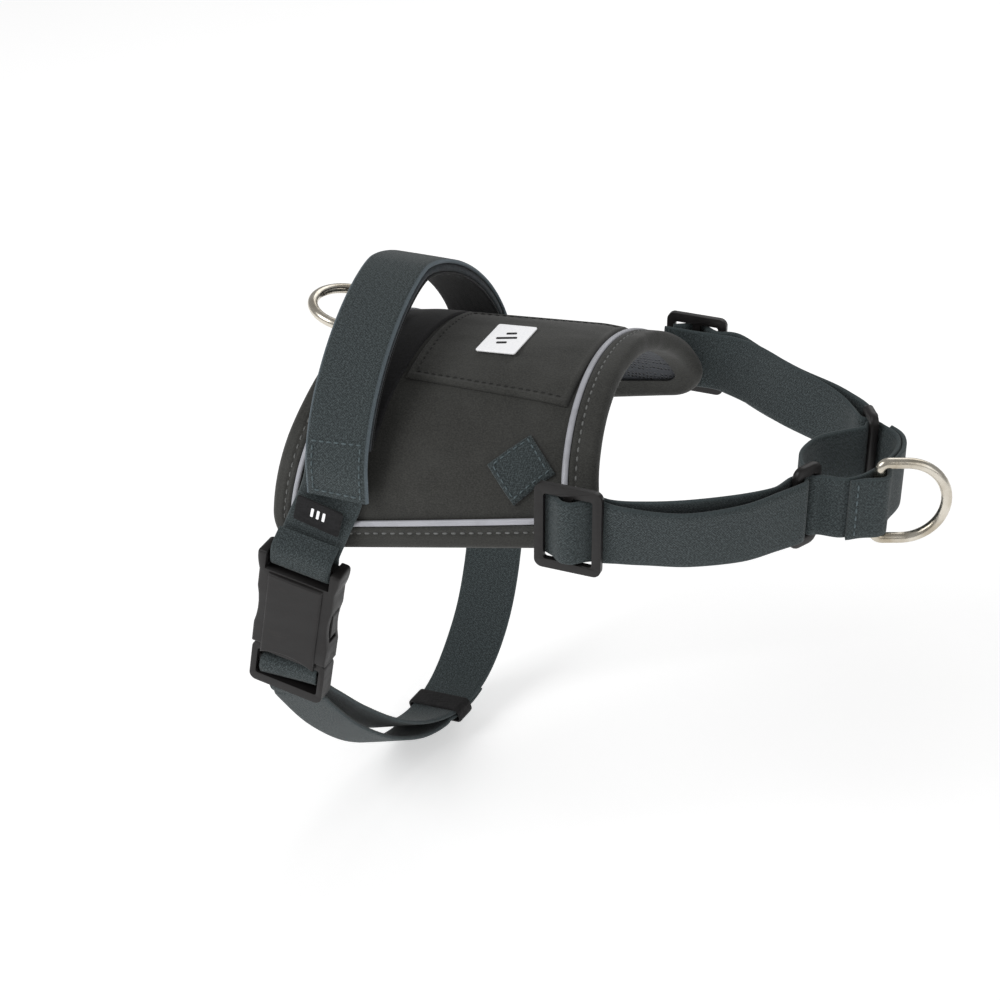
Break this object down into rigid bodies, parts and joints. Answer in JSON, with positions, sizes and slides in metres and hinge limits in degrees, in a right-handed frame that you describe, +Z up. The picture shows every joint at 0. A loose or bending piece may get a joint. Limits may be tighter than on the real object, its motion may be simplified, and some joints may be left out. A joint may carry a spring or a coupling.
{
  "type": "dog harness vest",
  "caption": "Padded saddle vest for a dog with a webbing grab handle, buckled girth strap, adjustable chest strap with control loop, and leash rings at back and chest.",
  "frame": {"origin": "underside of the saddle's ridge, in the plane of the handle and the girth strap, where the saddle lies on the dog's back", "axes": "+X towards the dog's head, +Y towards the dog's left side, +Z up"},
  "size_m": [0.2564, 0.1582, 0.2305],
  "materials": {
    "shell": "matt woven softshell",
    "lining": "knitted mesh",
    "webbing": "25 mm herringbone webbing",
    "black_trim": "black woven tape",
    "piping": "retroreflective tape over cord",
    "label": "white satin-faced label",
    "foam": "soft edge padding",
    "plastic": "moulded acetal, fine grain",
    "steel": "polished welded steel wire"
  },
  "bodies": {
    "saddle": {"saddle_lining": "lining", "saddle_shell": "shell", "edge_binding": "shell", "reflective_piping": "piping", "top_panel": "shell", "back_band": "black_trim", "top_label": "label", "right_girth_tab": "webbing", "left_girth_tab": "webbing", "size_tag": "black_trim", "rear_ring_tab": "webbing", "right_chest_patch": "webbing", "left_chest_patch": "webbing", "buckle_socket": "plastic"},
    "handle": {"handle_webbing": "webbing", "handle_foam": "foam", "handle_lining": "black_trim"},
    "rear_ring": {"rear_d_ring": "steel"},
    "chest": {"right_chest_strap": "webbing", "left_chest_strap": "webbing", "front_loop": "webbing", "front_ring_tab": "webbing"},
    "right_loop": {"right_chest_loop": "plastic"},
    "left_loop": {"left_chest_loop": "plastic"},
    "right_glide": {"right_adjuster": "plastic", "right_adjuster_wrap": "webbing"},
    "left_glide": {"left_adjuster": "plastic", "left_adjuster_wrap": "webbing"},
    "front_ring": {"front_d_ring": "steel"},
    "girth": {"buckle_plug": "plastic", "girth_strap": "webbing", "girth_tail": "webbing"},
    "front_latch": {"front_prong": "plastic"},
    "rear_latch": {"rear_prong": "plastic"},
    "keeper": {"strap_keeper": "black_trim"}
  },
  "joints": [
    {"name": "handle_tilt", "type": "hinge", "parent": "saddle", "child": "handle", "pos_m": [0.0025, 0, -0.031], "axis": [0, 1, 0], "range_deg": [-10, 10]},
    {"name": "rear_ring_lift", "type": "hinge", "parent": "saddle", "child": "rear_ring", "pos_m": [-0.018, 0, 0.00986], "axis": [0, 1, 0], "range_deg": [-12, 75]},
    {"name": "chest_swing", "type": "hinge", "parent": "saddle", "child": "chest", "pos_m": [0.083, 0, -0.021], "axis": [0, 1, 0], "range_deg": [-12, 12]},
    {"name": "right_loop_turn", "type": "hinge", "parent": "chest", "child": "right_loop", "pos_m": [0.1645, -0.029, -0.023], "axis": [0, 0, 1], "range_deg": [-2.5, 4]},
    {"name": "left_loop_turn", "type": "hinge", "parent": "chest", "child": "left_loop", "pos_m": [0.176, 0.029, -0.023], "axis": [0, 0, 1], "range_deg": [0, 4]},
    {"name": "right_adjuster_slide", "type": "slide", "parent": "chest", "child": "right_glide", "axis": [1, 0, 0], "range_m": [-0.01, 0]},
    {"name": "left_adjuster_slide", "type": "slide", "parent": "chest", "child": "left_glide", "axis": [1, 0, 0], "range_m": [-0.01, 0]},
    {"name": "front_ring_swing", "type": "hinge", "parent": "chest", "child": "front_ring", "pos_m": [0.19081, -0.01264, -0.0222], "axis": [0, 0, 1], "range_deg": [-80, 20]},
    {"name": "buckle_release", "type": "slide", "parent": "saddle", "child": "girth", "axis": [-0.1736, 0, -0.9848], "range_m": [0, 0.03], "deforming": ["front_prong", "rear_prong"]},
    {"name": "front_latch_squeeze", "type": "hinge", "parent": "girth", "child": "front_latch", "pos_m": [-0.00679, -0.0745, -0.10093], "axis": [0, 1, 0], "range_deg": [-6, 0], "stiffness_Nm_per_rad": 0.3},
    {"name": "rear_latch_squeeze", "type": "hinge", "parent": "girth", "child": "rear_latch", "pos_m": [-0.02846, -0.0745, -0.09711], "axis": [0, 1, 0], "range_deg": [0, 6], "stiffness_Nm_per_rad": 0.3},
    {"name": "keeper_slide", "type": "slide", "parent": "girth", "child": "keeper", "axis": [0.194, 0.9725, 0.129], "range_m": [-0.003, 0.003]}
  ],
  "couplings": [
    {"joint": "rear_latch_squeeze", "follows": "front_latch_squeeze", "ratio": -1}
  ]
}
